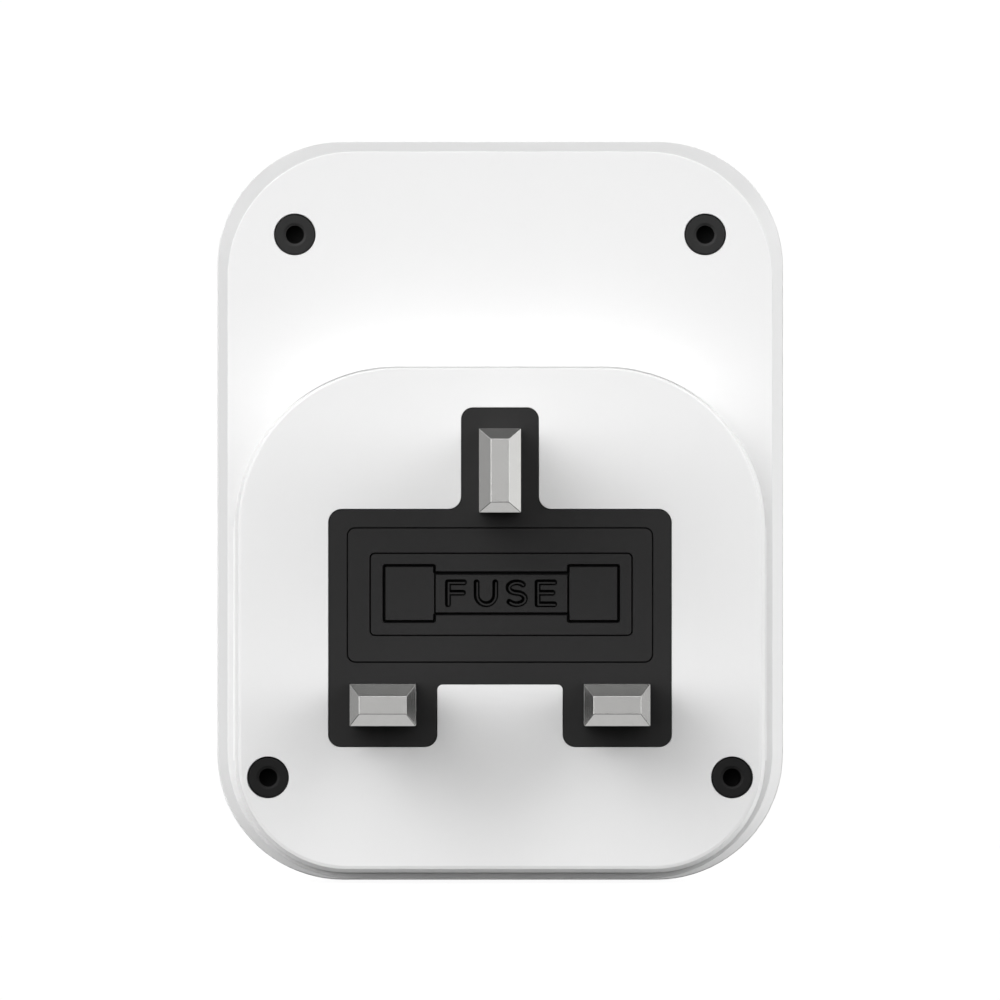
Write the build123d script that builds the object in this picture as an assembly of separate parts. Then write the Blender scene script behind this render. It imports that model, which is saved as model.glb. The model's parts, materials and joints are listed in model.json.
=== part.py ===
from build123d import *
import math
import os

# Plug-in socket extender with USB ports, in millimetres.
# Frame: the origin is the centre of the pin triangle on the plane that meets the wall
# socket. The pins point along -Y, the outlet faces +Y, +Z is up (earth pin side).

os.makedirs("parts", exist_ok=True)

# ---------------------------------------------------------------- driving dimensions

# Depth levels along Y
Y_BOSS = -0.04      # rear face of the plug boss, just proud of the pin carrier
Y_REAR = 6.6        # set-back rear face of the body
Y_SEAM = 31.0       # joint between rear housing and front cover
Y_FRONT = 37.0      # outlet face
WALL = 2.0

# Outlines: half width, bottom, top, top and bottom corner radius
REAR_HW, REAR_Z0, REAR_Z1, REAR_RT, REAR_RB = 26.03, -27.82, 41.58, 12.0, 12.0
RIM_HW, RIM_Z0, RIM_Z1, RIM_RT, RIM_RB = 27.17, -28.18, 42.79, 11.90, 12.05
COVER_HW, COVER_Z0, COVER_Z1, COVER_RT, COVER_RB = 27.27, -28.26, 42.82, 12.00, 12.15
REAR_EDGE = 0.10    # edge radius of the set-back face
RIM_EDGE = 0.06     # edge radius of the cover at the joint
COVER_EDGE = 2.8    # edge radius of the outlet face

# Plug boss: half width, bottom, top, top and bottom corner radius
BASE_HW, BASE_Z0, BASE_Z1, BASE_RT, BASE_RB = 25.32, -27.28, 20.86, 15.1, 10.7
FACE_HW, FACE_Z0, FACE_Z1, FACE_RT, FACE_RB = 24.94, -26.84, 20.83, 15.0, 10.4
BOSS_BEVEL, BOSS_BEVEL_TOP, BOSS_BEVEL_T = 0.30, 0.06, 0.07   # shallow bevel round the boss face: width, width at the top, depth
BOSS_EDGE = 0.04
BOSS_ROOT = 0.14    # small sloped bead where the sides of the boss meet the set-back face
CREASE_W, CREASE_T = 0.20, 0.28     # fine crease along the top of the boss
CREASE_IN, CREASE_FADE = 0.05, 0.26  # runs out to nothing half-way round the corners

# Pins
PIN_X, PIN_Z = 11.1, 11.1           # half spacing of the pin pattern
PIN_W, PIN_H, PIN_L = 6.25, 3.96, 17.7
EARTH_W, EARTH_H, EARTH_L = 3.95, 7.92, 22.7
PIN_EDGE = 0.07                      # edge radius of the pins
TIP_L, EARTH_TIP_L = 1.6, 1.53       # length of the bevelled tips
PIN_TIP_W, PIN_TIP_H = 4.49, 1.70
EARTH_TIP_W, EARTH_TIP_H = 1.72, 6.0
SLEEVE_L, SLEEVE_T, SLEEVE_IN = 9.5, 0.5, 1.0

# Pin carrier
TAB_HW, TAB_TOP = 3.71, 17.13
BLOCK_HW, SHOULDER, BLOCK_BOTTOM = 16.36, 7.46, -15.23
NOTCH_HW, NOTCH_TOP = 5.97, -9.27
CARRIER_BACK = 10.8
CARRIER_GAP = 0.05                   # all round, inside its window
WINDOW_EDGE = 0.03
FLANGE = 1.5

# Fuse carrier and fuse
FUSE_HW, FUSE_Z0, FUSE_Z1, FUSE_R = 14.54, -7.14, 5.67, 0.78
FUSE_GAP = 0.06                      # each side of the seam line
LID_T = 1.7
FUSE_Y, FUSE_Z = 5.6, -0.7           # fuse axis, along X
CAP_R, CAP_L, FUSE_L, CERAMIC_R = 3.175, 5.4, 25.4, 2.875
POCKET_HW, POCKET_HH, POCKET_Y = 13.1, 4.4, 9.4
GROOVE, FINE_GROOVE = 0.75, 0.5      # depth of the engraved lines
LETTER, LETTER_EDGE = 0.12, 1.1      # depth of the letters, and of the line round them
CLIP_X, CLIP_W, CLIP_T, CLIP_GAP = 9.9, 4.0, 0.4, 0.15

# Contacts and block
BLOCK_Y0, BLOCK_Y1, BLOCK_TOP = 12.8, 14.4, 28.4
STRAP_T = 0.6

# Screws
SCREW_TOP = (19.59, 33.66)
SCREW_BOT = (22.09, -18.11)
HEAD_R, HEAD_T, HEAD_SINK, HEAD_GAP = 1.95, 2.2, 0.22, 0.05
RECESS_R, RECESS_T, DISH_R, DISH_T = 0.87, 2.6, 1.12, 0.03
SHANK_R = 1.25
TOWER_END = 20.8
POST_R = 2.0

# Outlet face
PLATE_IN = 34.4                      # inner face of the front plate
THICK_IN = 32.4                      # inner face of the thicker field around the slots
SLOT_W, SLOT_H = 7.0, 4.6
EARTH_SLOT_W, EARTH_SLOT_H = 4.6, 8.8
COVER_IN = 3.47                      # side wall of the front cover

# Shutter
SH_Y0, SH_Y1, SH_HW, SH_TRAVEL = 28.8, 32.05, 15.3, 5.5
SPRING_R, WIRE_R, SPRING_Y = 1.0, 0.16, 30.4
SPRING_Z0, SPRING_Z1 = -24.0, -9.4

# USB supply
BOARD_Z0, BOARD_Z1, BOARD_HW, BOARD_Y0, BOARD_Y1 = 21.5, 23.1, 21.5, 10.0, 34.1
USB_Z = 25.95
USB_A_X, USB_A_W, USB_A_H, USB_A_Y0 = 15.0, 13.1, 5.7, 22.8
USB_C_W, USB_C_H, USB_C_Y0 = 8.94, 3.26, 28.8
SHELL_T = 0.3
USB_MOUTH = 36.8


# ---------------------------------------------------------------- helpers

def at(y):
    """Sketch plane at depth y: local x is X, local y is Z."""
    return Plane.XZ.offset(-y)


def slab(sketch, y0, y1):
    """Solid of a sketch from depth y0 to y1."""
    return extrude(at(y0) * sketch, amount=-(y1 - y0))


def taper(sketch0, y0, sketch1, y1):
    return loft([at(y0) * sketch0, at(y1) * sketch1], ruled=True)


def box(x0, x1, y0, y1, z0, z1):
    return Pos((x0 + x1) / 2, (y0 + y1) / 2, (z0 + z1) / 2) * Box(x1 - x0, y1 - y0, z1 - z0)


def rod(x, z, r, y0, y1):
    return slab(Pos(x, z) * Circle(r), y0, y1)


def rpoly(points):
    """Closed outline from (x, z, corner radius) triples."""
    n = len(points)
    ins, outs, mids = [], [], []
    for i in range(n):
        px, pz, _ = points[i - 1]
        x, z, r = points[i]
        nx, nz, _ = points[(i + 1) % n]
        ax, az = px - x, pz - z
        bx, bz = nx - x, nz - z
        la, lb = math.hypot(ax, az), math.hypot(bx, bz)
        ax, az, bx, bz = ax / la, az / la, bx / lb, bz / lb
        half = math.acos(max(-1.0, min(1.0, ax * bx + az * bz))) / 2
        t = r / math.tan(half)
        cx, cz = ax + bx, az + bz
        lc = math.hypot(cx, cz)
        reach = r / math.sin(half) - r
        ins.append((x + ax * t, z + az * t))
        outs.append((x + bx * t, z + bz * t))
        mids.append((x + cx / lc * reach, z + cz / lc * reach))
    edges = []
    for i in range(n):
        if math.dist(outs[i - 1], ins[i]) > 1e-6:
            edges.append(Line(outs[i - 1], ins[i]))
        if points[i][2] > 0:
            edges.append(ThreePointArc(ins[i], mids[i], outs[i]))
    return make_face(Wire(edges))


def rrect(x0, x1, z0, z1, r):
    return rpoly([(x0, z0, r), (x1, z0, r), (x1, z1, r), (x0, z1, r)])


def rrect2(hw, z0, z1, rt, rb):
    return rpoly([(-hw, z0, rb), (hw, z0, rb), (hw, z1, rt), (-hw, z1, rt)])


def stadium(w, h):
    return SlotOverall(w, h)


def strip(points, t):
    """Face of constant thickness t along an open run of points, with mitred bends."""
    n = len(points)
    left, right = [], []
    for i, (x, y) in enumerate(points):
        dirs = []
        if i > 0:
            dirs.append((x - points[i - 1][0], y - points[i - 1][1]))
        if i < n - 1:
            dirs.append((points[i + 1][0] - x, points[i + 1][1] - y))
        norms = []
        for dx, dy in dirs:
            d = math.hypot(dx, dy)
            norms.append((-dy / d, dx / d))
        if len(norms) == 1:
            mx, my = norms[0]
            k = 1.0
        else:
            mx, my = norms[0][0] + norms[1][0], norms[0][1] + norms[1][1]
            m = math.hypot(mx, my)
            mx, my = mx / m, my / m
            k = 1.0 / (mx * norms[0][0] + my * norms[0][1])
        left.append((x + mx * k * t / 2, y + my * k * t / 2))
        right.append((x - mx * k * t / 2, y - my * k * t / 2))
    return make_face(Polyline(*left, *reversed(right), close=True))


def edges_at(solid, y, tol=1e-4):
    return [e for e in solid.edges() if abs(e.bounding_box().min.Y - y) < tol and abs(e.bounding_box().max.Y - y) < tol]


nodes = {}


def lerp(a, b, y):
    k = (y - Y_REAR) / (Y_SEAM - Y_REAR)
    return a + (b - a) * k


def body_outline(y, inset=0.0):
    """Rounded outline of the tub at depth y, moved inwards by inset."""
    hw = lerp(REAR_HW, RIM_HW, y) - inset
    z0 = lerp(REAR_Z0, RIM_Z0, y) + inset
    z1 = lerp(REAR_Z1, RIM_Z1, y) - inset
    return rrect2(hw, z0, z1, lerp(REAR_RT, RIM_RT, y) - inset, lerp(REAR_RB, RIM_RB, y) - inset)


def carrier_outline(grow=0.0, notch=True):
    g = grow
    pts = [
        (-TAB_HW - g, TAB_TOP + g, 1.13 + g),
        (TAB_HW + g, TAB_TOP + g, 1.13 + g),
        (TAB_HW + g, SHOULDER + g, max(1.2 - g, 0.3)),
        (BLOCK_HW + g, SHOULDER + g, 1.3 + g),
        (BLOCK_HW + g, BLOCK_BOTTOM - g, 1.2 + g),
    ]
    if notch:
        pts += [
            (NOTCH_HW - g, BLOCK_BOTTOM - g, 1.2 + g),
            (NOTCH_HW - g, NOTCH_TOP - g, max(0.5 - g, 0.2)),
            (-NOTCH_HW + g, NOTCH_TOP - g, max(0.5 - g, 0.2)),
            (-NOTCH_HW + g, BLOCK_BOTTOM - g, 1.2 + g),
        ]
    pts += [
        (-BLOCK_HW - g, BLOCK_BOTTOM - g, 1.2 + g),
        (-BLOCK_HW - g, SHOULDER + g, 1.3 + g),
        (-TAB_HW - g, SHOULDER + g, max(1.2 - g, 0.3)),
    ]
    return rpoly(pts)


SCREWS = [
    (-SCREW_TOP[0], SCREW_TOP[1], Y_REAR),
    (SCREW_TOP[0], SCREW_TOP[1], Y_REAR),
    (-SCREW_BOT[0], SCREW_BOT[1], Y_BOSS),
    (SCREW_BOT[0], SCREW_BOT[1], Y_BOSS),
]

# ---------------------------------------------------------------- rear housing

tub = taper(body_outline(Y_REAR), Y_REAR, body_outline(Y_SEAM), Y_SEAM)
tub = fillet(edges_at(tub, Y_REAR), REAR_EDGE)
boss = taper(
    rrect2(FACE_HW, FACE_Z0, FACE_Z1, FACE_RT, FACE_RB), Y_BOSS + BOSS_BEVEL_T,
    rrect2(BASE_HW, BASE_Z0, BASE_Z1, BASE_RT, BASE_RB), Y_REAR,
)
k, kt = BOSS_BEVEL, BOSS_BEVEL_TOP
boss += taper(
    rrect2(FACE_HW - k, FACE_Z0 + k, FACE_Z1 - kt, FACE_RT - (k + kt) / 2, FACE_RB - k), Y_BOSS,
    rrect2(FACE_HW, FACE_Z0, FACE_Z1, FACE_RT, FACE_RB), Y_BOSS + BOSS_BEVEL_T,
)
boss = fillet(edges_at(boss, Y_BOSS + BOSS_BEVEL_T), BOSS_EDGE)
root = slab(rrect2(BASE_HW, BASE_Z0, BASE_Z1, BASE_RT, BASE_RB), Y_REAR, Y_REAR + 1.0)
outer = tub + boss + root
bead = taper(
    rrect2(BASE_HW - 0.01, BASE_Z0, BASE_Z1 - 0.01, BASE_RT, BASE_RB), Y_REAR - BOSS_ROOT,
    rrect2(BASE_HW + BOSS_ROOT, BASE_Z0 - BOSS_ROOT, BASE_Z1 + BOSS_ROOT, BASE_RT + BOSS_ROOT, BASE_RB + BOSS_ROOT), Y_REAR,
)
outer += bead & box(-30, 30, Y_REAR - 1, Y_REAR, BASE_Z0 + BASE_RB, BASE_Z1 - BASE_RT)
crease = slab(
    rrect2(BASE_HW - CREASE_IN, BASE_Z0 + 1.0, BASE_Z1 + CREASE_W, BASE_RT + CREASE_FADE, BASE_RB),
    Y_REAR - 0.01, Y_REAR + CREASE_T,
)
crease -= slab(rrect2(BASE_HW, BASE_Z0, BASE_Z1, BASE_RT, BASE_RB), Y_REAR - 1, Y_REAR + 1)
outer -= crease & box(-30, 30, Y_REAR - 1, Y_REAR + 1, BASE_Z1 - BASE_RT + 3.0, 30)

hollow = taper(body_outline(Y_REAR + WALL, WALL), Y_REAR + WALL, body_outline(Y_SEAM, WALL), Y_SEAM)
hollow += slab(
    rrect2(FACE_HW - WALL, FACE_Z0 + WALL, FACE_Z1 - WALL, FACE_RT - WALL, FACE_RB - WALL),
    Y_BOSS + WALL, Y_REAR + WALL + 0.5,
)
rear = outer - hollow
for sx, sz, sy in SCREWS:
    tower = rod(sx, sz, 3.0, sy + 0.8, TOWER_END) & outer
    rear += tower
# ledges that carry the circuit board
for side in (-1, 1):
    x0, x1 = sorted((side * 20.4, side * 24.8))
    rear += box(x0, x1, Y_REAR + 1.0, 28.4, BOARD_Z0 - 1.4, BOARD_Z0)
# window for the pin carrier
rear -= slab(carrier_outline(), Y_BOSS - 1, Y_BOSS + WALL + 0.01)
rear -= taper(carrier_outline(WINDOW_EDGE), Y_BOSS, carrier_outline(), Y_BOSS + WINDOW_EDGE)
for sx, sz, sy in SCREWS:
    rear -= rod(sx, sz, HEAD_R + HEAD_GAP, sy - 1, sy + HEAD_SINK + HEAD_T)
    rear -= taper(Pos(sx, sz) * Circle(HEAD_R + HEAD_GAP + WINDOW_EDGE), sy, Pos(sx, sz) * Circle(HEAD_R + HEAD_GAP), sy + WINDOW_EDGE)
    rear -= rod(sx, sz, SHANK_R + 0.15, sy, TOWER_END + 1)
nodes["rear_housing"] = rear

# ---------------------------------------------------------------- front cover

cover = slab(rrect2(COVER_HW, COVER_Z0, COVER_Z1, COVER_RT, COVER_RB), Y_SEAM, Y_FRONT)
cover = fillet(edges_at(cover, Y_FRONT), COVER_EDGE)
cover = fillet(edges_at(cover, Y_SEAM), RIM_EDGE)
inner = rrect2(COVER_HW - COVER_IN, COVER_Z0 + COVER_IN, COVER_Z1 - COVER_IN, COVER_RT - COVER_IN, COVER_RB - COVER_IN)
LIP_IN = WALL + 0.22
lip = slab(
    rrect2(RIM_HW - LIP_IN, RIM_Z0 + LIP_IN, RIM_Z1 - LIP_IN, RIM_RT - LIP_IN, RIM_RB - LIP_IN),
    28.8, Y_SEAM + 0.5,
)
cover = cover + lip
cover -= slab(inner, 28.0, PLATE_IN)
cover += box(-17.0, 17.0, THICK_IN, PLATE_IN + 0.2, -17.2, 18.2)
# rails that guide the shutter and bear on the contact block
for side in (-1, 1):
    x0, x1 = sorted((side * 15.6, side * 16.8))
    cover += box(x0, x1, BLOCK_TOP, THICK_IN + 0.2, -17.2, 17.2)
# seat for the shutter spring
cover += box(-2.5, 2.5, 28.8, PLATE_IN + 0.2, -26.0, SPRING_Z0)
# screw posts
for sx, sz, _ in SCREWS:
    cover += rod(sx, sz, POST_R, TOWER_END, PLATE_IN + 0.2)
    cover -= rod(sx, sz, SHANK_R + 0.03, TOWER_END - 1, 30.5)
# outlet slots with a lead-in at the face
LEAD = 0.45
for cx, cz, w, h in (
    (-PIN_X, -PIN_Z, SLOT_W, SLOT_H),
    (PIN_X, -PIN_Z, SLOT_W, SLOT_H),
    (0.0, PIN_Z, EARTH_SLOT_W, EARTH_SLOT_H),
):
    hole = rrect(cx - w / 2, cx + w / 2, cz - h / 2, cz + h / 2, 0.3)
    wide = rrect(cx - w / 2 - LEAD, cx + w / 2 + LEAD, cz - h / 2 - LEAD, cz + h / 2 + LEAD, 0.3 + LEAD)
    cover -= slab(hole, THICK_IN - 1, Y_FRONT + 1)
    cover -= taper(hole, Y_FRONT - LEAD, wide, Y_FRONT)
# USB openings
for ux in (-USB_A_X, USB_A_X):
    cover -= slab(rrect(ux - USB_A_W / 2 - 0.2, ux + USB_A_W / 2 + 0.2, USB_Z - USB_A_H / 2 - 0.2, USB_Z + USB_A_H / 2 + 0.2, 0.6), 30.0, Y_FRONT + 1)
cover -= slab(Pos(0, USB_Z) * stadium(USB_C_W + 0.4, USB_C_H + 0.4), 30.0, Y_FRONT + 1)
nodes["front_cover"] = cover

# ---------------------------------------------------------------- pin carrier

carrier = slab(carrier_outline(-CARRIER_GAP), 0.0, CARRIER_BACK)
carrier = chamfer(edges_at(carrier, 0.0), 0.03)
carrier += slab(carrier_outline(FLANGE, notch=False), Y_BOSS + WALL, Y_BOSS + WALL + 1.6)
carrier -= slab(
    rrect(-FUSE_HW - FUSE_GAP, FUSE_HW + FUSE_GAP, FUSE_Z0 - FUSE_GAP, FUSE_Z1 + FUSE_GAP, FUSE_R + FUSE_GAP),
    -1.0, LID_T + 0.1,
)
carrier -= box(-POCKET_HW, POCKET_HW, LID_T, POCKET_Y, FUSE_Z - POCKET_HH, FUSE_Z + POCKET_HH)
NECK_W, NECK_H = PIN_W - 2 * SLEEVE_T, PIN_H - 2 * SLEEVE_T
for px in (-PIN_X, PIN_X):
    carrier -= slab(rrect(px - PIN_W / 2, px + PIN_W / 2, -PIN_Z - PIN_H / 2, -PIN_Z + PIN_H / 2, PIN_EDGE), -1.0, SLEEVE_IN)
    carrier -= box(px - NECK_W / 2, px + NECK_W / 2, 0.0, CARRIER_BACK + 1, -PIN_Z - NECK_H / 2, -PIN_Z + NECK_H / 2)
carrier -= slab(rrect(-EARTH_W / 2, EARTH_W / 2, PIN_Z - EARTH_H / 2, PIN_Z + EARTH_H / 2, PIN_EDGE), -1.0, 9.0)
E_NECK_W, E_NECK_H = 3.0, 5.0
carrier -= box(-E_NECK_W / 2, E_NECK_W / 2, 8.0, CARRIER_BACK + 1, PIN_Z - E_NECK_H / 2, PIN_Z + E_NECK_H / 2)
for cx in (-CLIP_X, CLIP_X):
    carrier -= box(cx - 0.5, cx + 0.5, POCKET_Y - 1, CARRIER_BACK + 1, FUSE_Z - 1.2, FUSE_Z + 1.2)
BLOCK_SCREWS = [(-9.0, 5.75), (9.0, 5.75), (0.0, -7.15)]
for bx, bz in BLOCK_SCREWS:
    carrier -= rod(bx, bz, 1.03, 4.8, CARRIER_BACK + 1)
nodes["pin_carrier"] = carrier

# ---------------------------------------------------------------- pins and sleeves

def blade(px, pz, w, hh, tip_w, tip_h, tip_l, length, end):
    """Blade with a bevelled tip and softened edges, from its tip to depth end."""
    full = Pos(px, pz) * Rectangle(w, hh)
    tip = Pos(px, pz) * Rectangle(tip_w, tip_h)
    body = taper(tip, -length, full, -length + tip_l) + slab(full, -length + tip_l, end)
    return fillet([e for e in body.edges() if e.bounding_box().min.Y < end - 1e-3], PIN_EDGE)


def flat_pin(px, end):
    pin = blade(px, -PIN_Z, PIN_W, PIN_H, PIN_TIP_W, PIN_TIP_H, TIP_L, PIN_L, -SLEEVE_L)
    pin += box(px - NECK_W / 2, px + NECK_W / 2, -SLEEVE_L, end, -PIN_Z - NECK_H / 2, -PIN_Z + NECK_H / 2)
    return pin


def pin_sleeve(px):
    full = rrect(px - PIN_W / 2, px + PIN_W / 2, -PIN_Z - PIN_H / 2, -PIN_Z + PIN_H / 2, PIN_EDGE)
    s = slab(full, -SLEEVE_L, SLEEVE_IN)
    return s - box(px - NECK_W / 2, px + NECK_W / 2, -SLEEVE_L - 1, SLEEVE_IN + 1, -PIN_Z - NECK_H / 2, -PIN_Z + NECK_H / 2)


nodes["line_pin"] = flat_pin(-PIN_X, 11.8)
nodes["neutral_pin"] = flat_pin(PIN_X, BLOCK_Y1 + STRAP_T)
nodes["line_pin_sleeve"] = pin_sleeve(-PIN_X)
nodes["neutral_pin_sleeve"] = pin_sleeve(PIN_X)

earth = blade(0.0, PIN_Z, EARTH_W, EARTH_H, EARTH_TIP_W, EARTH_TIP_H, EARTH_TIP_L, EARTH_L, 9.0)
earth += box(-E_NECK_W / 2, E_NECK_W / 2, 9.0, BLOCK_Y1 + STRAP_T, PIN_Z - E_NECK_H / 2, PIN_Z + E_NECK_H / 2)
nodes["earth_pin"] = earth

# ---------------------------------------------------------------- fuse carrier and fuse

lid = slab(
    rrect(-FUSE_HW + FUSE_GAP, FUSE_HW - FUSE_GAP, FUSE_Z0 + FUSE_GAP, FUSE_Z1 - FUSE_GAP, FUSE_R - FUSE_GAP),
    0.0, LID_T,
)
lid = chamfer(edges_at(lid, 0.0), 0.03)
# cradle arms that hold the ceramic
for cx in (-4.5, 4.5):
    arm = extrude(Plane.YZ.offset(cx - 1.5) * (Pos(FUSE_Y, FUSE_Z) * Circle(3.9)), amount=3.0)
    arm += box(cx - 1.5, cx + 1.5, LID_T - 0.2, FUSE_Y, FUSE_Z - 3.0, FUSE_Z + 3.0)
    arm -= box(cx - 2, cx + 2, 7.0, 12.0, FUSE_Z - 5, FUSE_Z + 5)
    arm -= extrude(Plane.YZ.offset(cx - 2) * (Pos(FUSE_Y, FUSE_Z) * Circle(CERAMIC_R + 0.02)), amount=4.0)
    lid += arm


def vee(sketch0, sketch1, depth):
    """Groove cutter that narrows from the outline at the face to the one at its bottom."""
    return taper(sketch0, -0.02, sketch1, depth)


def vee_ring(x0, x1, z0, z1, r, w, depth):
    """V-section groove of width w inside a rounded rectangle."""
    k = w / 2 - 0.01
    out = vee(rrect(x0, x1, z0, z1, r), rrect(x0 + k, x1 - k, z0 + k, z1 - k, max(r - k, 0.04)), depth)
    x0, x1, z0, z1, r = x0 + w, x1 - w, z0 + w, z1 - w, max(r - w, 0.03)
    return out - vee(rrect(x0, x1, z0, z1, r), rrect(x0 - k, x1 + k, z0 - k, z1 + k, r + k), depth)


def vee_line(x0, x1, z0, z1, depth):
    """V-section groove along the longer side of a rectangle."""
    across = x1 - x0 < z1 - z0
    full = Pos((x0 + x1) / 2, (z0 + z1) / 2) * Rectangle(x1 - x0, z1 - z0)
    thin = Pos((x0 + x1) / 2, (z0 + z1) / 2) * (Rectangle(0.02, z1 - z0) if across else Rectangle(x1 - x0, 0.02))
    return vee(full, thin, depth)


LINE_W, FINE_W = 0.32, 0.16
MARK_Z0, MARK_Z1 = -3.42, 2.23
TUBE_Z0, TUBE_Z1 = -2.53, 1.35          # the two lines of the pictogram's tube
lid -= vee_ring(-12.44, 12.66, -4.66, 3.32, 0.52, FINE_W, FINE_GROOVE)
for x0, x1, inner, thin in ((-11.205, -6.07, -6.20, 0.18), (6.34, 11.45, 6.50, 0.22)):
    ring = vee_ring(x0, x1, MARK_Z0, MARK_Z1, 0.28, LINE_W, GROOVE)
    ring -= box(inner - 0.4, inner + 0.4, -1.0, 2.0, TUBE_Z0, TUBE_Z1)
    lid -= ring
    lid -= vee_line(inner - thin / 2, inner + thin / 2, TUBE_Z0 - 0.05, TUBE_Z1 + 0.05, GROOVE)
lid -= vee_line(-6.25, 6.52, TUBE_Z1 - 0.19, TUBE_Z1 + 0.19, GROOVE)
lid -= vee_line(-6.25, 6.52, TUBE_Z0 - 0.16, TUBE_Z0 + 0.16, GROOVE)
# plain word on the pictogram, in round-ended strokes, each with a deeper line round it
CAP_T, CAP_B, STROKE, CORE = 0.76, -1.90, 0.57, 0.15
CORE_DX, CORE_DZ = 0.065, -0.055       # the raised middle of each stroke sits off centre


def stroke(points, width):
    face = None
    for (x0, z0), (x1, z1) in zip(points, points[1:]):
        d = math.dist((x0, z0), (x1, z1))
        a = math.degrees(math.atan2(z1 - z0, x1 - x0))
        piece = Pos((x0 + x1) / 2, (z0 + z1) / 2) * Rot(0, 0, a) * SlotOverall(d + width, width)
        face = piece if face is None else face + piece
    return face


def arc_points(cx, cz, rx, rz, a0, a1, n):
    return [
        (cx + rx * math.cos(math.radians(a0 + (a1 - a0) * i / n)), cz + rz * math.sin(math.radians(a0 + (a1 - a0) * i / n)))
        for i in range(n + 1)
    ]


h = STROKE / 2
t, b, m = CAP_T - h, CAP_B + h, (CAP_T + CAP_B) / 2 + 0.05
letters = [
    [[(-3.53, t), (-5.06, t), (-5.06, b)], [(-5.06, m), (-3.63, m)]],
    [[(-2.33, t)] + arc_points(-1.44, b + 0.89, 0.89, 0.89, 180, 360, 10) + [(-0.55, t)]],
    [arc_points(1.46, (t + m) / 2, 0.76, (t - m) / 2, 35, 270, 10) + arc_points(1.46, (m + b) / 2, 0.815, (m - b) / 2, 90, -145, 10)[1:]],
    [[(5.06, t), (3.48, t), (3.48, b), (5.06, b)], [(3.48, m), (4.90, m)]],
]
for runs in letters:
    wide = core = None
    for run in runs:
        w, c = stroke(run, STROKE), stroke(run, CORE)
        wide = w if wide is None else wide + w
        core = c if core is None else core + c
    cut = slab(Pos(0.1, 0) * wide, -0.5, LETTER_EDGE) - slab(Pos(0.1 + CORE_DX, CORE_DZ) * core, LETTER, LETTER_EDGE + 1)
    lid -= cut
nodes["fuse_carrier"] = lid

ceramic = extrude(Plane.YZ.offset(-FUSE_L / 2 + 0.35) * (Pos(FUSE_Y, FUSE_Z) * Circle(CERAMIC_R)), amount=FUSE_L - 0.7)
nodes["fuse_body"] = ceramic


def cap(side):
    c = extrude(Plane.YZ.offset(0) * (Pos(FUSE_Y, FUSE_Z) * Circle(CAP_R)), amount=CAP_L)
    c = fillet(c.edges().group_by(Axis.X)[-1], 0.3)
    c -= extrude(Plane.YZ.offset(-1) * (Pos(FUSE_Y, FUSE_Z) * Circle(CERAMIC_R)), amount=CAP_L - 0.35 + 1)
    c = Pos(FUSE_L / 2 - CAP_L, 0, 0) * c
    return c if side > 0 else mirror(c, about=Plane.YZ)


nodes["fuse_caps"] = Compound(children=[cap(-1), cap(1)])

gap = CAP_R + CLIP_GAP + CLIP_T / 2


def fuse_clip(cx, tab_end):
    c = strip([(3.6, FUSE_Z + gap + 0.42), (4.4, FUSE_Z + gap), (POCKET_Y - CLIP_T / 2, FUSE_Z + gap), (POCKET_Y - CLIP_T / 2, FUSE_Z - gap), (4.4, FUSE_Z - gap), (3.6, FUSE_Z - gap - 0.42)], CLIP_T)
    s = extrude(Plane.YZ.offset(cx - CLIP_W / 2) * c, amount=CLIP_W)
    return s + box(cx - 0.5, cx + 0.5, POCKET_Y - CLIP_T, tab_end, FUSE_Z - 1.2, FUSE_Z + 1.2)


nodes["fuse_clip_line"] = fuse_clip(-CLIP_X, CARRIER_BACK + STRAP_T)
nodes["fuse_clip_load"] = fuse_clip(CLIP_X, BLOCK_Y1 + STRAP_T)

# ---------------------------------------------------------------- straps and contacts

strap = slab(rrect(-14.6, -7.6, -13.6, 1.2, 1.0), CARRIER_BACK, CARRIER_BACK + STRAP_T)
strap -= box(-PIN_X - NECK_W / 2, -PIN_X + NECK_W / 2, 10, 13, -PIN_Z - NECK_H / 2, -PIN_Z + NECK_H / 2)
strap -= box(-CLIP_X - 0.5, -CLIP_X + 0.5, 10, 13, FUSE_Z - 1.2, FUSE_Z + 1.2)
nodes["line_strap"] = strap

CONTACT_HW = 3.3
load = box(-18.0, 11.9, BLOCK_Y1, BLOCK_Y1 + STRAP_T, FUSE_Z - 1.6, FUSE_Z + 1.6)
load += box(-12.6, -9.6, BLOCK_Y1, BLOCK_Y1 + STRAP_T, -PIN_Z + 3.03, FUSE_Z)
load -= box(CLIP_X - 0.5, CLIP_X + 0.5, 10, 16, FUSE_Z - 1.2, FUSE_Z + 1.2)
nodes["load_strap"] = load


def flat_contact(px):
    y = BLOCK_Y1 + STRAP_T / 2
    c = strip([(27.6, 2.95), (25.0, 2.2), (y, 2.7), (y, -2.7), (25.0, -2.2), (27.6, -2.95)], STRAP_T)
    return extrude(Plane.YZ.offset(px - CONTACT_HW) * (Pos(0, -PIN_Z) * c), amount=2 * CONTACT_HW)


nodes["line_contact"] = flat_contact(-PIN_X)
neutral = flat_contact(PIN_X)
neutral += box(PIN_X + 2.0, 18.0, BLOCK_Y1, BLOCK_Y1 + STRAP_T, -PIN_Z - 1.5, -PIN_Z + 1.5)
neutral -= box(PIN_X - NECK_W / 2, PIN_X + NECK_W / 2, 13, 15.6, -PIN_Z - NECK_H / 2, -PIN_Z + NECK_H / 2)
nodes["neutral_contact"] = neutral

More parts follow.
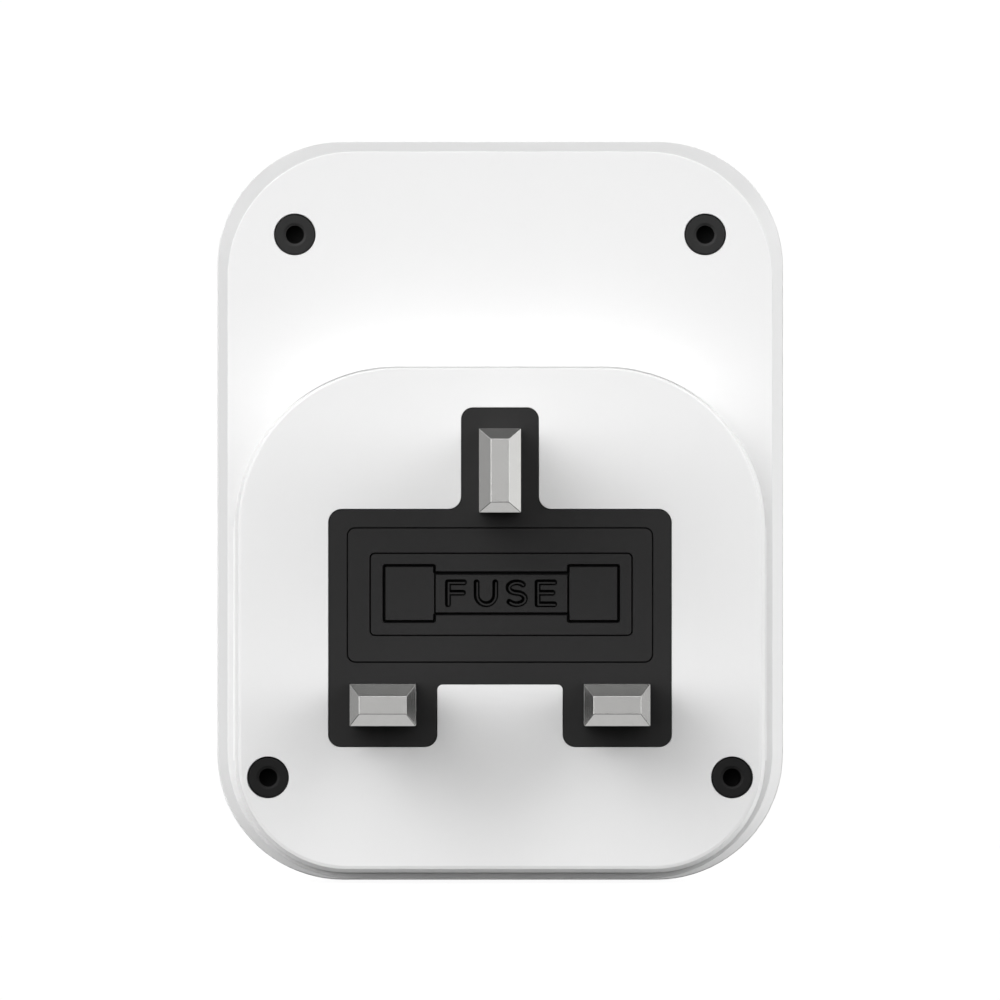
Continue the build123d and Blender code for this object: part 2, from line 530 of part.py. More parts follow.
y = BLOCK_Y1 + STRAP_T / 2
ec = strip([(2.95, 27.6), (2.2, 25.0), (2.7, y), (-2.7, y), (-2.2, 25.0), (-2.95, 27.6)], STRAP_T)
earth_c = extrude(Plane.XY.offset(PIN_Z - 3.6) * ec, amount=7.2)
earth_c -= box(-E_NECK_W / 2, E_NECK_W / 2, 13, 15.6, PIN_Z - E_NECK_H / 2, PIN_Z + E_NECK_H / 2)
nodes["earth_contact"] = earth_c

# ---------------------------------------------------------------- contact block

block = slab(rrect(-16.9, 16.9, -17.2, 17.6, 2.0), BLOCK_Y0, BLOCK_Y1)
for cx, cz, hw, hh in ((-PIN_X, -PIN_Z, 4.2, 3.6), (PIN_X, -PIN_Z, 4.2, 3.6), (0.0, PIN_Z, 3.7, 5.4)):
    block += box(cx - hw - 1, cx + hw + 1, BLOCK_Y1 - 0.5, BLOCK_TOP, cz - hh - 1, cz + hh + 1)
    block -= box(cx - hw, cx + hw, BLOCK_Y1, BLOCK_TOP + 1, cz - hh, cz + hh)
for bx, bz in BLOCK_SCREWS:
    block += rod(bx, bz, 2.2, CARRIER_BACK, BLOCK_Y0 + 0.5)
    block -= rod(bx, bz, 1.15, 10, BLOCK_Y1 + 1)
block -= box(PIN_X - NECK_W / 2, PIN_X + NECK_W / 2, 12, BLOCK_Y1 + 0.1, -PIN_Z - NECK_H / 2, -PIN_Z + NECK_H / 2)
block -= box(-E_NECK_W / 2, E_NECK_W / 2, 12, BLOCK_Y1 + 0.1, PIN_Z - E_NECK_H / 2, PIN_Z + E_NECK_H / 2)
block -= box(CLIP_X - 0.5, CLIP_X + 0.5, 12, BLOCK_Y1 + 0.1, FUSE_Z - 1.2, FUSE_Z + 1.2)
# ways for the straps through the chamber walls
block -= box(-12.8, -9.4, BLOCK_Y1, BLOCK_Y1 + 0.9, -PIN_Z + 3.0, -PIN_Z + 5.0)
block -= box(PIN_X + 3.0, PIN_X + 6.0, BLOCK_Y1, BLOCK_Y1 + 0.9, -PIN_Z - 1.7, -PIN_Z + 1.7)
nodes["contact_block"] = block

screws = []
for bx, bz in BLOCK_SCREWS:
    s = rod(bx, bz, 1.0, 5.2, BLOCK_Y1) + rod(bx, bz, 1.9, BLOCK_Y1, BLOCK_Y1 + 1.4)
    s = fillet(edges_at(s, BLOCK_Y1 + 1.4), 0.5)
    s -= slab(Pos(bx, bz) * (Rectangle(1.9, 0.4) + Rectangle(0.4, 1.9)), BLOCK_Y1 + 0.6, BLOCK_Y1 + 2)
    screws.append(s)
nodes["block_screws"] = Compound(children=screws)

# ---------------------------------------------------------------- housing screws

upper, lower = [], []
for sx, sz, sy in SCREWS:
    top = sy + HEAD_SINK
    s = rod(sx, sz, HEAD_R, top, top + HEAD_T)
    s = fillet(edges_at(s, top), 0.15)
    s += rod(sx, sz, SHANK_R, top + HEAD_T - 0.1, 29.5)
    s = chamfer(edges_at(s, 29.5), 0.6)
    # shallow dish round the deep driver recess
    s -= taper(Pos(sx, sz) * Circle(DISH_R), top, Pos(sx, sz) * Circle(RECESS_R + 0.04), top + DISH_T)
    s -= rod(sx, sz, RECESS_R, top - 1, top + RECESS_T)
    (upper if sz > 0 else lower).append(s)
nodes["upper_housing_screws"] = Compound(children=upper)
nodes["lower_housing_screws"] = Compound(children=lower)

# ---------------------------------------------------------------- shutter and spring

sh = box(-SH_HW, SH_HW, SH_Y0, SH_Y1, -16.5, 7.0)
sh += box(-6.0, 6.0, SH_Y0, SH_Y1, 6.5, 17.0)
sh -= box(-2.6, 2.6, SH_Y0 - 1, SH_Y1 + 1, 7.0, 18.0)
ramp = make_face(Polyline((SH_Y0, 6.5), (SH_Y1, 6.5), (SH_Y1, 7.0), (SH_Y0, 12.3), close=True))
sh += extrude(Plane.YZ.offset(-2.7) * ramp, amount=5.4)
for px in (-PIN_X, PIN_X):
    sh -= slab(rrect(px - 3.6, px + 3.6, -8.2, -3.1, 0.4), SH_Y0 - 1, SH_Y1 + 1)
sh -= box(-1.6, 1.6, SH_Y0 - 1, SH_Y1 + 1, -17.0, SPRING_Z1)
nodes["shutter"] = sh

turns = 10
helix = Pos(0, SPRING_Y, SPRING_Z0 + WIRE_R) * Helix((SPRING_Z1 - SPRING_Z0 - 2 * WIRE_R) / turns, SPRING_Z1 - SPRING_Z0 - 2 * WIRE_R, SPRING_R)
start = Plane(origin=helix @ 0, z_dir=helix % 0)
nodes["shutter_spring"] = sweep(start * Circle(WIRE_R), path=helix, is_frenet=True)

# ---------------------------------------------------------------- USB supply

nodes["usb_board"] = Pos(0, (BOARD_Y0 + BOARD_Y1) / 2, 0) * extrude(
    Plane.XY.offset(BOARD_Z0) * RectangleRounded(2 * BOARD_HW, BOARD_Y1 - BOARD_Y0, 1.0), amount=BOARD_Z1 - BOARD_Z0
)


def usb_a(ux):
    w, hh = USB_A_W / 2, USB_A_H / 2
    out = slab(rrect(ux - w, ux + w, USB_Z - hh, USB_Z + hh, 0.45), USB_A_Y0, USB_MOUTH)
    ins = rrect(ux - w + SHELL_T, ux + w - SHELL_T, USB_Z - hh + SHELL_T, USB_Z + hh - SHELL_T, 0.15)
    shell = out - slab(ins, USB_A_Y0 - 1, USB_MOUTH + 1)
    # spring windows in the top of the shell
    for dx in (-3.2, 3.2):
        shell -= box(ux + dx - 1.1, ux + dx + 1.1, 26.5, 31.0, USB_Z + hh - 0.6, USB_Z + hh + 1)
    core = slab(ins, USB_A_Y0, 25.2)
    core += box(ux - 5.55, ux + 5.55, 25.0, 35.6, USB_Z - 0.01, USB_Z + 1.83)
    return shell, core


for name, ux in (("left", -USB_A_X), ("right", USB_A_X)):
    shell, core = usb_a(ux)
    nodes["usb_a_shell_" + name] = shell
    nodes["usb_a_insulator_" + name] = core

c_in = Pos(0, USB_Z) * stadium(USB_C_W - 2 * SHELL_T, USB_C_H - 2 * SHELL_T)
nodes["usb_c_shell"] = slab(Pos(0, USB_Z) * stadium(USB_C_W, USB_C_H), USB_C_Y0, USB_MOUTH) - slab(c_in, USB_C_Y0 - 1, USB_MOUTH + 1)
c_core = slab(c_in, USB_C_Y0 - 0.4, 30.6)
c_core += box(-4.3, 4.3, USB_C_Y0 - 1.4, USB_C_Y0, BOARD_Z1, USB_Z + 1.6)
c_core += box(-2.8, 2.8, USB_C_Y0 - 0.4, 34.0, BOARD_Z1, USB_Z - USB_C_H / 2)
c_core += box(-3.35, 3.35, 30.4, 36.0, USB_Z - 0.35, USB_Z + 0.35)
nodes["usb_c_insulator"] = c_core

# transformer: ferrite core around a wound bobbin
TX, TY0, TY1, TZ1 = 6.2, 10.6, 21.4, BOARD_Z1 + 10.6
ferrite = box(-TX, TX, TY0 + 2.6, TY1 - 2.6, BOARD_Z1 + 0.8, TZ1)
ferrite -= box(-TX + 1.7, TX - 1.7, TY0, TY1, BOARD_Z1 + 2.4, TZ1 - 1.7)
nodes["transformer_core"] = ferrite
coil = box(-TX + 1.75, TX - 1.75, TY0, TY1, BOARD_Z1 + 2.45, TZ1 - 1.75)
coil = fillet(coil.edges().filter_by(Axis.Y), 0.8)
coil += box(-TX + 1.9, TX - 1.9, TY0, TY0 + 1.8, BOARD_Z1, BOARD_Z1 + 3.5)
coil += box(-TX + 1.9, TX - 1.9, TY1 - 1.8, TY1, BOARD_Z1, BOARD_Z1 + 3.5)
nodes["transformer_coil"] = coil


def can(x, yy, r, length):
    c = extrude(Plane.XY.offset(BOARD_Z1) * (Pos(x, yy) * Circle(r)), amount=length)
    c = fillet(c.edges().group_by(Axis.Z)[-1], 0.5)
    groove = Pos(x, yy, BOARD_Z1 + 1.6) * Torus(r + 0.15, 0.45)
    return c - groove


nodes["input_capacitor"] = can(-12.0, 15.6, 4.0, 10.5)
nodes["output_capacitor"] = can(12.0, 15.6, 4.0, 9.0)
chip = box(-2.45, 2.45, 22.9, 26.8, BOARD_Z1 + 0.15, BOARD_Z1 + 1.6)
for i in range(4):
    x = -1.905 + 1.27 * i
    for y0, y1, f0, f1 in ((22.3, 23.0, 22.0, 22.6), (26.7, 27.4, 27.1, 27.3)):
        chip += box(x - 0.2, x + 0.2, y0, y1, BOARD_Z1 + 0.6, BOARD_Z1 + 0.85)
        chip += box(x - 0.2, x + 0.2, f0 if y0 < 24 else 27.15, 22.55 if y0 < 24 else 27.4, BOARD_Z1, BOARD_Z1 + 0.85)
nodes["controller_chip"] = chip

LEAD_R, LEAD_X, LEAD_Y = 0.7, 17.3, BLOCK_Y1 + STRAP_T + 0.7
for name, x, z0 in (("line_lead", -LEAD_X, FUSE_Z - 1.6), ("neutral_lead", LEAD_X, -PIN_Z - 1.5)):
    nodes[name] = extrude(Plane.XY.offset(z0) * (Pos(x, LEAD_Y) * Circle(LEAD_R)), amount=BOARD_Z0 - z0)

# ---------------------------------------------------------------- write the pieces

for name, solid in nodes.items():
    export_step(solid, "parts/" + name + ".step")
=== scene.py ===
import json
import math

import bmesh
import bpy
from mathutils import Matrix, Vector


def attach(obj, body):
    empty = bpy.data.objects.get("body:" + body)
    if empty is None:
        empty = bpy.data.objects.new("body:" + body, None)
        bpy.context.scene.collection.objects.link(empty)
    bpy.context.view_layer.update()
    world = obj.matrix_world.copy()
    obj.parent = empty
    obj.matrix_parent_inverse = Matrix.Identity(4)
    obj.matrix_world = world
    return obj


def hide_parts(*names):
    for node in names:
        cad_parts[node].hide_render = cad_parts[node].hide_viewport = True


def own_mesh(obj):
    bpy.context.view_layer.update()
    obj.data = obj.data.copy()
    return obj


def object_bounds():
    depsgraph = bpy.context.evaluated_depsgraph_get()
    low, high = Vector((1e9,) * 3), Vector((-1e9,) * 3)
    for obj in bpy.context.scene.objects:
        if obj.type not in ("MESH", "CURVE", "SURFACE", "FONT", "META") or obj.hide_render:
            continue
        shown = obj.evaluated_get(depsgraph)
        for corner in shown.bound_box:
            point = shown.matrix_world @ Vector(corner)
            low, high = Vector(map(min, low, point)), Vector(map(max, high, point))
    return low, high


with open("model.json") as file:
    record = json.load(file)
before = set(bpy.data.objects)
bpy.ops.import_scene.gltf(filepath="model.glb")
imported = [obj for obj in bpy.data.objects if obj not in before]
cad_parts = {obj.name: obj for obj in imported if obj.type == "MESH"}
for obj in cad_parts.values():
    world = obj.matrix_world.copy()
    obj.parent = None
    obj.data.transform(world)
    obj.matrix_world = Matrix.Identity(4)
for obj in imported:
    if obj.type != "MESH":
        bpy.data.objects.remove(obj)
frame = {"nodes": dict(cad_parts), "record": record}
cad_box = [list(v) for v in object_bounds()]
N = frame["nodes"]
scene = bpy.context.scene

# ------------------------------------------------------------------ camera
# Straight view of the pin side, from far away, so that the pins are seen end on.
cam_data = bpy.data.cameras.new("camera")
cam_data.lens = 1000.0
cam_data.sensor_width = 36.0
cam_data.clip_end = 50.0
cam = bpy.data.objects.new("camera", cam_data)
scene.collection.objects.link(cam)
cam.location = (0.0, -2.6452, 0.008314)
cam.rotation_euler = (math.radians(90), 0, 0)
scene.camera = cam


# ------------------------------------------------------------------ node helpers
def new_mat(name):
    m = bpy.data.materials.new(name)
    m.use_nodes = True
    nt = m.node_tree
    nt.nodes.clear()
    out = nt.nodes.new("ShaderNodeOutputMaterial")
    bsdf = nt.nodes.new("ShaderNodeBsdfPrincipled")
    nt.links.new(bsdf.outputs["BSDF"], out.inputs["Surface"])
    return m, nt, bsdf


def obj_coords(nt):
    return nt.nodes.new("ShaderNodeTexCoord").outputs["Object"]


def noise(nt, coords, scale, detail=3.0, rough=0.5, stretch=None):
    vec = coords
    if stretch:
        mp = nt.nodes.new("ShaderNodeMapping")
        mp.inputs["Scale"].default_value = stretch
        nt.links.new(coords, mp.inputs["Vector"])
        vec = mp.outputs["Vector"]
    n = nt.nodes.new("ShaderNodeTexNoise")
    n.inputs["Scale"].default_value = scale
    n.inputs["Detail"].default_value = detail
    n.inputs["Roughness"].default_value = rough
    nt.links.new(vec, n.inputs["Vector"])
    return n.outputs["Fac"]


def ramp(nt, fac, stops):
    r = nt.nodes.new("ShaderNodeValToRGB")
    els = r.color_ramp.elements
    while len(els) < len(stops):
        els.new(0.5)
    for e, (p, c) in zip(els, stops):
        e.position = p
        e.color = (*c, 1.0) if len(c) == 3 else c
    nt.links.new(fac, r.inputs["Fac"])
    return r.outputs["Color"]


def span(nt, fac, lo, hi):
    m = nt.nodes.new("ShaderNodeMapRange")
    m.inputs["To Min"].default_value = lo
    m.inputs["To Max"].default_value = hi
    nt.links.new(fac, m.inputs["Value"])
    return m.outputs["Result"]


def bump(nt, bsdf, height, strength, distance):
    b = nt.nodes.new("ShaderNodeBump")
    b.inputs["Strength"].default_value = strength
    b.inputs["Distance"].default_value = distance
    nt.links.new(height, b.inputs["Height"])
    nt.links.new(b.outputs["Normal"], bsdf.inputs["Normal"])
    return b


def moulded(name, dark, light, rough, rough_span, spec, grain_scale, grain, grain_mm, coat=0.0):
    """Moulded plastic: faint flow variation in the colour, fine texture in gloss and relief."""
    m, nt, b = new_mat(name)
    co = obj_coords(nt)
    nt.links.new(ramp(nt, noise(nt, co, 55.0, 4.0), [(0.30, dark), (0.70, light)]), b.inputs["Base Color"])
    nt.links.new(span(nt, noise(nt, co, 260.0, 3.0), rough - rough_span, rough + rough_span), b.inputs["Roughness"])
    b.inputs["Specular IOR Level"].default_value = spec
    b.inputs["Coat Weight"].default_value = coat
    b.inputs["Coat Roughness"].default_value = 0.25
    bump(nt, b, noise(nt, co, grain_scale, 2.0, 0.6), grain, grain_mm / 1000.0)
    return m


def metal(name, dark, light, rough, rough_span, stretch, scale, relief_mm, relief=0.25):
    """Drawn or pressed metal: streaks along the working direction."""
    m, nt, b = new_mat(name)
    co = obj_coords(nt)
    streak = noise(nt, co, scale, 3.0, 0.6, stretch)
    nt.links.new(ramp(nt, streak, [(0.25, dark), (0.75, light)]), b.inputs["Base Color"])
    nt.links.new(span(nt, noise(nt, co, scale * 0.7, 2.0, 0.5, stretch), rough - rough_span, rough + rough_span), b.inputs["Roughness"])
    b.inputs["Metallic"].default_value = 1.0
    bump(nt, b, streak, relief, relief_mm / 1000.0)
    return m


def recessed(name, dark, light, rough, rough_span, spec, scales, grain, grain_mm, sunk, painted_shade_tone, dull):
    """Black piece with holes or engraved lines: fine-textured face, rougher below it, and a colour darkened below it as
    painted shade, sunk = (from, to) in mm of depth.
    """
    m, nt, b = new_mat(name)
    co = obj_coords(nt)
    depth = nt.nodes.new("ShaderNodeSeparateXYZ")
    nt.links.new(co, depth.inputs["Vector"])
    below = nt.nodes.new("ShaderNodeMapRange")
    below.inputs["From Min"].default_value = sunk[0] / 1000.0
    below.inputs["From Max"].default_value = sunk[1] / 1000.0
    nt.links.new(depth.outputs["Y"], below.inputs["Value"])
    # painted shade: below the face the colour is mixed towards a darker tone, standing in for the shade inside holes
    # and lines
    painted_shade_mix = nt.nodes.new("ShaderNodeMix")
    painted_shade_mix.data_type = "RGBA"
    nt.links.new(below.outputs["Result"], painted_shade_mix.inputs["Factor"])
    nt.links.new(ramp(nt, noise(nt, co, scales[0], 4.0), [(0.30, dark), (0.70, light)]), painted_shade_mix.inputs["A"])
    painted_shade_mix.inputs["B"].default_value = (painted_shade_tone, painted_shade_tone, painted_shade_tone, 1.0)
    nt.links.new(painted_shade_mix.outputs["Result"], b.inputs["Base Color"])
    gloss = nt.nodes.new("ShaderNodeMath")
    gloss.operation = "MULTIPLY_ADD"
    gloss.inputs[1].default_value = dull
    gloss.use_clamp = True
    nt.links.new(below.outputs["Result"], gloss.inputs[0])
    nt.links.new(span(nt, noise(nt, co, scales[1], 3.0), rough - rough_span, rough + rough_span), gloss.inputs[2])
    nt.links.new(gloss.outputs["Value"], b.inputs["Roughness"])
    b.inputs["Specular IOR Level"].default_value = spec
    bump(nt, b, noise(nt, co, scales[2], 2.0, 0.6), grain, grain_mm / 1000.0)
    return m


def g(v):
    return (v, v, v)


MATS = {
    "white_shell": moulded("white_shell", (0.832, 0.832, 0.832), (0.842, 0.842, 0.842), 0.40, 0.04, 0.40, 5200.0, 0.08, 0.010),
    "black_moulding": moulded("black_moulding", (0.0082, 0.0080, 0.0081), (0.0102, 0.0098, 0.0100), 0.48, 0.05, 0.31, 4200.0, 0.20, 0.014),
    "sleeve": moulded("sleeve", g(0.006), g(0.010), 0.42, 0.05, 0.35, 3600.0, 0.15, 0.012),
    "plated_pin": metal("plated_pin", (0.580, 0.577, 0.565), (0.600, 0.597, 0.585), 0.24, 0.014, (1500.0, 40.0, 1500.0), 1.0, 0.0010, 0.04),
    "ceramic": moulded("ceramic", (0.70, 0.67, 0.60), (0.80, 0.78, 0.72), 0.30, 0.06, 0.5, 2400.0, 0.10, 0.02, 0.3),
    "plated_brass": metal("plated_brass", (0.62, 0.60, 0.54), (0.74, 0.72, 0.66), 0.25, 0.06, (900.0, 300.0, 300.0), 1.0, 0.004),
    "brass": metal("brass", (0.62, 0.42, 0.15), (0.78, 0.56, 0.24), 0.28, 0.06, (300.0, 900.0, 300.0), 1.0, 0.004),
    "block_moulding": moulded("block_moulding", (0.62, 0.61, 0.57), (0.68, 0.67, 0.63), 0.45, 0.06, 0.4, 3200.0, 0.2, 0.02),
    "zinc_screw": metal("zinc_screw", g(0.45), g(0.60), 0.32, 0.08, (500.0, 500.0, 500.0), 1.0, 0.006),
    # upper screws: the sockets get painted shade, with the colour darkened to 0.004 below the head face
    "black_screw": recessed("black_screw", g(0.007), g(0.010), 0.44, 0.06, 0.38, (420.0, 900.0, 3600.0), 0.2, 0.012, (6.97, 7.42), 0.004, 0.30),
    # lower screws: a darker, less glossy copy of black_screw, whose colour is painted shade; their sockets also get
    # painted shade below the head face
    "dark_screw": recessed("dark_screw", g(0.004), g(0.006), 0.44, 0.06, 0.20, (420.0, 900.0, 3600.0), 0.2, 0.012, (0.33, 0.78), 0.004, 0.30),
    "shutter_moulding": moulded("shutter_moulding", (0.66, 0.66, 0.64), (0.71, 0.71, 0.69), 0.42, 0.05, 0.4, 3600.0, 0.15, 0.015),
    "spring_steel": metal("spring_steel", g(0.32), g(0.45), 0.28, 0.06, (300.0, 300.0, 300.0), 1.0, 0.003),
    "circuit_board": moulded("circuit_board", (0.010, 0.085, 0.028), (0.016, 0.125, 0.042), 0.35, 0.08, 0.5, 1500.0, 0.2, 0.03, 0.4),
    "port_shell": metal("port_shell", g(0.52), g(0.64), 0.26, 0.06, (300.0, 900.0, 900.0), 1.0, 0.003),
    "port_insulator": moulded("port_insulator", g(0.72), g(0.78), 0.40, 0.05, 0.4, 3600.0, 0.12, 0.012),
    "port_insulator_dark": moulded("port_insulator_dark", g(0.010), g(0.016), 0.42, 0.05, 0.4, 3600.0, 0.12, 0.012),
    "ferrite": moulded("ferrite", g(0.018), g(0.034), 0.55, 0.10, 0.5, 2200.0, 0.4, 0.03),
    "coil_tape": moulded("coil_tape", (0.62, 0.44, 0.03), (0.72, 0.52, 0.05), 0.35, 0.08, 0.5, 1200.0, 0.2, 0.04),
    "capacitor_can": moulded("capacitor_can", (0.008, 0.010, 0.020), (0.014, 0.017, 0.032), 0.30, 0.08, 0.5, 1800.0, 0.15, 0.02),
    "chip_moulding": moulded("chip_moulding", g(0.010), g(0.018), 0.50, 0.08, 0.4, 3000.0, 0.3, 0.02),
    "lead_brown": moulded("lead_brown", (0.055, 0.022, 0.010), (0.080, 0.034, 0.016), 0.45, 0.06, 0.4, 2400.0, 0.2, 0.02),
    "lead_blue": moulded("lead_blue", (0.012, 0.040, 0.170), (0.018, 0.058, 0.230), 0.45, 0.06, 0.4, 2400.0, 0.2, 0.02),
}

# fuse carrier: the engraved lines and letters get painted shade, with the colour darkened to 0.002 below the face
ENGRAVED = recessed("black_engraved", (0.0082, 0.0080, 0.0081), (0.0102, 0.0098, 0.0100), 0.48, 0.05, 0.31, (55.0, 260.0, 4200.0), 0.20, 0.014, (0.16, 0.40), 0.002, 0.45)

for sub in frame["record"]["subparts"]:
    o = N[sub["node"]]
    o.data.materials.clear()
    o.data.materials.append(ENGRAVED if sub["node"] == "fuse_carrier" else MATS[sub["material_slot"]])

# ------------------------------------------------------------------ contacts inside the USB ports
def strips(name, runs):
    """Thin springy contact strips, each a run of (y, z) points at x, given in millimetres, with rounded edges."""
    bm = bmesh.new()
    for x, width, thick, points in runs:
        ring = []
        for i, (y, z) in enumerate(points):
            y0, z0 = points[max(i - 1, 0)]
            y1, z1 = points[min(i + 1, len(points) - 1)]
            d = math.hypot(y1 - y0, z1 - z0)
            ny, nz = -(z1 - z0) / d * thick / 2, (y1 - y0) / d * thick / 2
            w = width / 2 * (0.72 if i == len(points) - 1 else 1.0)
            ring.append([bm.verts.new((c[0] / 1000, c[1] / 1000, c[2] / 1000)) for c in (
                (x - w, y + ny, z + nz), (x + w, y + ny, z + nz), (x + w, y - ny, z - nz), (x - w, y - ny, z - nz))])
        for a, b in zip(ring, ring[1:]):
            for k in range(4):
                bm.faces.new((a[k], a[(k + 1) % 4], b[(k + 1) % 4], b[k]))
        bm.faces.new(ring[0][::-1])
        bm.faces.new(ring[-1])
    bmesh.ops.recalc_face_normals(bm, faces=bm.faces)
    me = bpy.data.meshes.new(name)
    bm.to_mesh(me)
    bm.free()
    o = bpy.data.objects.new(name, me)
    scene.collection.objects.link(o)
    bev = o.modifiers.new("edges", "BEVEL")
    bev.width = min(r[2] for r in runs) / 1000 * 0.3
    bev.segments = 2
    me.materials.append(GOLD)
    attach(o, "housing")
    return o


GOLD = metal("contact_gold", (0.72, 0.47, 0.16), (0.82, 0.56, 0.22), 0.24, 0.05, (900.0, 200.0, 900.0), 1.0, 0.002)
for side, port in ((-1, "left"), (1, "right")):
    strips("usb_a_contacts_" + port, [
        (side * 15.0 + dx, 1.0, 0.20, [(25.4, 25.80), (28.0, 25.80), (31.0, 25.62), (33.0, 25.42), (34.2, 25.50), (35.0, 25.78)])
        for dx in (-3.5, -1.0, 1.0, 3.5)])
strips("usb_c_contacts", [
    (-2.75 + 0.5 * i, 0.27, 0.05, [(30.8, 25.95 + 0.36 * k), (35.5, 25.95 + 0.36 * k)])
    for i in range(12) for k in (-1, 1)])

# ------------------------------------------------------------------ return spring of the shutter
def coil_spring(name, x, y, z0, z1, radius, wire, turns, dead, slot):
    """Round-wire coil with closed end turns, in millimetres: dead turns lie wire on wire at each end, the rest are evenly open."""
    steps, sides = 28, 10
    lead = 2.1 * wire
    total = int(round(turns * steps))
    span_z = z1 - z0 - 2 * wire
    pitch = (span_z - 2 * dead * lead) / (turns - 2 * dead)

    def height(t):
        if t < dead:
            return lead * t
        if t > turns - dead:
            return span_z - lead * (turns - t)
        return lead * dead + pitch * (t - dead)

    bm = bmesh.new()
    rings = []
    for i in range(total + 1):
        t = turns * i / total
        a = 2 * math.pi * t
        out_dir = Vector((math.cos(a), math.sin(a), 0.0))
        rise = (height(min(t + 0.02, turns)) - height(max(t - 0.02, 0.0))) / (min(t + 0.02, turns) - max(t - 0.02, 0.0))
        along = Vector((-math.sin(a) * radius * 2 * math.pi, math.cos(a) * radius * 2 * math.pi, rise)).normalized()
        up = along.cross(out_dir).normalized()
        middle = Vector((x, y, z0 + wire + height(t))) + out_dir * radius
        rings.append([bm.verts.new((middle + (out_dir * math.cos(b) + up * math.sin(b)) * wire) / 1000)
                      for b in (2 * math.pi * k / sides for k in range(sides))])
    for r, q in zip(rings, rings[1:]):
        for k in range(sides):
            bm.faces.new((r[k], r[(k + 1) % sides], q[(k + 1) % sides], q[k])).smooth = True
    bm.faces.new(rings[0][::-1])
    bm.faces.new(rings[-1])
    bmesh.ops.recalc_face_normals(bm, faces=bm.faces)
    me = bpy.data.meshes.new(name)
    bm.to_mesh(me)
    bm.free()
    o = bpy.data.objects.new(name, me)
    scene.collection.objects.link(o)
    me.materials.append(MATS[slot])
    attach(o, "housing")
    return o


SPRING_Z0, SPRING_Z1 = -24.0, -9.4
spring = coil_spring("shutter_return_spring", 0.0, 30.4, SPRING_Z0, SPRING_Z1, 1.0, 0.16, 12, 1.0, "spring_steel")
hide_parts("shutter_spring")
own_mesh(spring)

# ------------------------------------------------------------------ stage
# A pale floor that meets the white surround. It takes a faint shadow of the object and throws no light back on it.
lowest = cad_box[0][2]
bpy.ops.mesh.primitive_circle_add(vertices=96, radius=1.6, fill_type="NGON", location=(0, 0, lowest))
floor = bpy.context.object
floor.name = "floor"
fm = bpy.data.materials.new("floor")
fm.use_nodes = True
nt = fm.node_tree
nt.nodes.clear()
out = nt.nodes.new("ShaderNodeOutputMaterial")
diff = nt.nodes.new("ShaderNodeBsdfDiffuse")
glow = nt.nodes.new("ShaderNodeEmission")
glow.inputs["Color"].default_value = (1, 1, 1, 1)
near = nt.nodes.new("ShaderNodeAddShader")
nt.links.new(diff.outputs["BSDF"], near.inputs[0])
nt.links.new(glow.outputs["Emission"], near.inputs[1])
far = nt.nodes.new("ShaderNodeEmission")
far.inputs["Color"].default_value = (1, 1, 1, 1)
mix = nt.nodes.new("ShaderNodeMixShader")
ln = nt.nodes.new("ShaderNodeVectorMath")
ln.operation = "LENGTH"
nt.links.new(nt.nodes.new("ShaderNodeTexCoord").outputs["Object"], ln.inputs[0])
mr = nt.nodes.new("ShaderNodeMapRange")
mr.interpolation_type = "SMOOTHSTEP"
mr.inputs["From Min"].default_value = 0.08
mr.inputs["From Max"].default_value = 0.32
nt.links.new(ln.outputs["Value"], mr.inputs["Value"])
nt.links.new(mr.outputs["Result"], mix.inputs["Fac"])
# a white lane under and behind the object, pale grey to both sides of it
place = nt.nodes.new("ShaderNodeSeparateXYZ")
nt.links.new(nt.nodes.new("ShaderNodeTexCoord").outputs["Object"], place.inputs["Vector"])
aside = nt.nodes.new("ShaderNodeMath")
aside.operation = "ABSOLUTE"
nt.links.new(place.outputs["X"], aside.inputs[0])
lane = nt.nodes.new("ShaderNodeMapRange")
lane.interpolation_type = "SMOOTHSTEP"
lane.inputs["From Min"].default_value = 0.07
lane.inputs["From Max"].default_value = 0.26
lane.inputs["To Min"].default_value = 1.0
lane.inputs["To Max"].default_value = 0.80
nt.links.new(aside.outputs["Value"], lane.inputs["Value"])
for tone, socket in ((0.26, diff.inputs["Color"]), (0.87, glow.inputs["Strength"]), (1.02, far.inputs["Strength"])):
    scaled = nt.nodes.new("ShaderNodeMath")
    scaled.operation = "MULTIPLY"
    scaled.inputs[1].default_value = tone
    nt.links.new(lane.outputs["Result"], scaled.inputs[0])
    nt.links.new(scaled.outputs["Value"], socket)
nt.links.new(near.outputs["Shader"], mix.inputs[1])
nt.links.new(far.outputs["Emission"], mix.inputs[2])
nt.links.new(mix.outputs["Shader"], out.inputs["Surface"])
floor.data.materials.append(fm)
floor.visible_diffuse = floor.visible_glossy = floor.visible_transmission = floor.visible_shadow = False

world = bpy.data.worlds.new("studio")
scene.world = world
world.use_nodes = True
wn = world.node_tree
wn.nodes.clear()
wo = wn.nodes.new("ShaderNodeOutputWorld")
lit = wn.nodes.new("ShaderNodeBackground")
lit.inputs["Color"].default_value = (1, 1, 1, 1)
lit.inputs["Strength"].default_value = 0.0
seen = wn.nodes.new("ShaderNodeBackground")
seen.inputs["Color"].default_value = (1, 1, 1, 1)
wall = wn.nodes.new("ShaderNodeSeparateXYZ")
wn.links.new(wn.nodes.new("ShaderNodeTexCoord").outputs["Generated"], wall.inputs["Vector"])
pale = wn.nodes.new("ShaderNodeMapRange")
pale.interpolation_type = "SMOOTHSTEP"
pale.inputs["From Min"].default_value = 0.70
pale.inputs["From Max"].default_value = 0.98
pale.inputs["To Min"].default_value = 0.82
pale.inputs["To Max"].default_value = 1.02
wn.links.new(wall.outputs["Y"], pale.inputs["Value"])
wn.links.new(pale.outputs["Result"], seen.inputs["Strength"])
wm = wn.nodes.new("ShaderNodeMixShader")
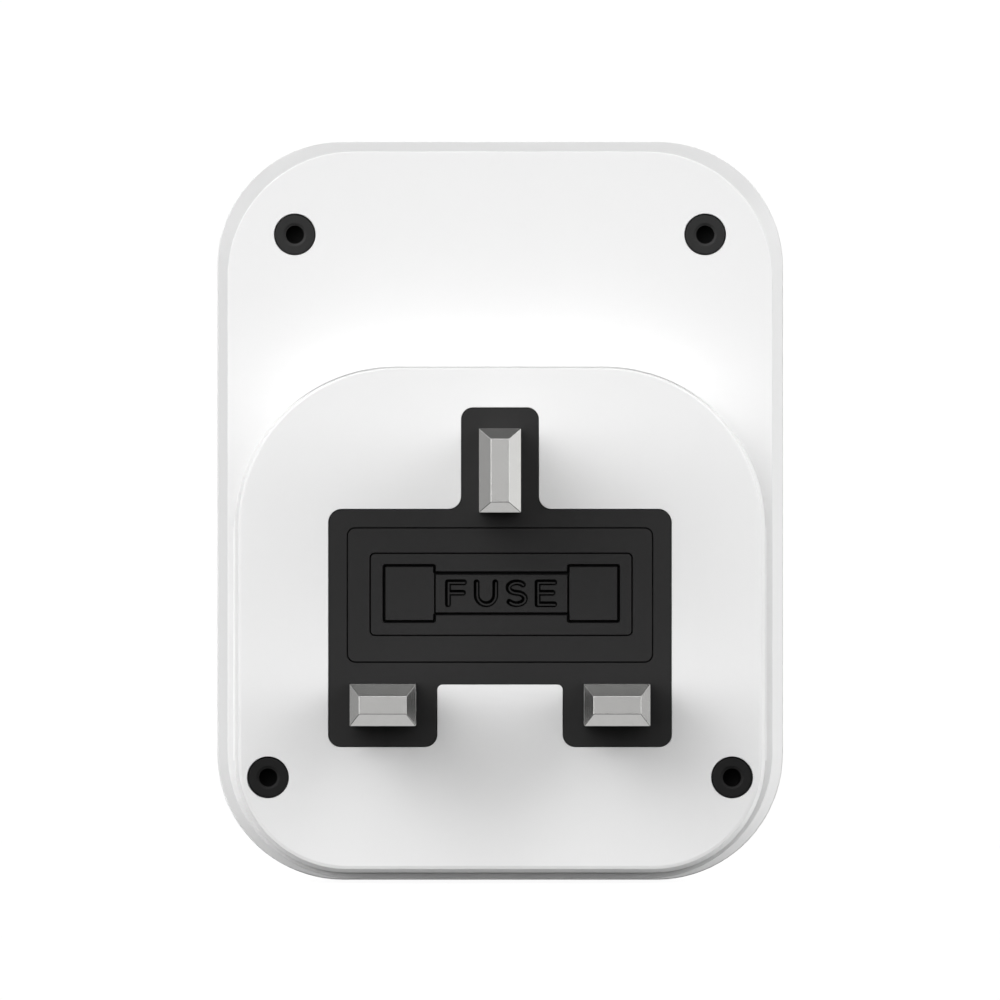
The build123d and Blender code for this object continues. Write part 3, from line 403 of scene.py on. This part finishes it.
lp = wn.nodes.new("ShaderNodeLightPath")
wn.links.new(lp.outputs["Is Camera Ray"], wm.inputs["Fac"])
wn.links.new(lit.outputs["Background"], wm.inputs[1])
wn.links.new(seen.outputs["Background"], wm.inputs[2])
wn.links.new(wm.outputs["Shader"], wo.inputs["Surface"])


def soft_light(az, el, power, spread):
    """Large far panel: az from the pin side, positive to the right, el above the floor, spread is how wide it looks."""
    a, e = math.radians(az), math.radians(el)
    d = bpy.data.lights.new("panel_%d_%d" % (az, el), "SUN")
    d.energy = power
    d.angle = math.radians(spread)
    o = bpy.data.objects.new(d.name, d)
    scene.collection.objects.link(o)
    to_light = Vector((math.sin(a) * math.cos(e), -math.cos(a) * math.cos(e), math.sin(e)))
    o.rotation_euler = to_light.to_track_quat("Z", "Y").to_euler()
    return o


for az, el, spread, power in (
    # pin side: a low bank, a second one above it and a faint third near the top
    (-75, 12, 34, 0.720), (-45, 12, 34, 0.623), (-15, 12, 34, 0.540), (15, 12, 34, 0.174), (45, 12, 34, 0.504), (75, 12, 34, 0.702),
    (-75, 34, 34, 0.283), (-45, 34, 34, 0.724), (-15, 34, 34, 0.436), (15, 34, 34, 0.101), (45, 34, 34, 0.543), (75, 34, 34, 0.350),
    (-45, 55, 34, 0.057), (0, 55, 34, 0.071),
    # sides: these show in the bevels of the pins
    (-100, -8, 30, 0.073), (100, -8, 30, 0.231), (-100, 20, 30, 0.144), (100, 20, 30, 0.200), (-122, 0, 26, 0.065), (122, 0, 26, 0.088),
    # outlet side, and the light from above and below it
    (-140, 28, 40, 0.369), (140, 28, 40, 0.542), (-140, -28, 40, 0.878), (140, -28, 40, 1.011), (-150, 0, 34, 0.080), (150, 0, 34, 0.171),
    (180, 30, 40, 0.195), (180, 0, 30, 0.095), (180, -28, 40, 0.092), (180, 67, 34, 0.048), (180, -66, 40, 0.304),
):
    soft_light(az, el, power, spread)

scene.view_settings.view_transform = "Standard"
scene.view_settings.look = "None"

bpy.context.view_layer.update()
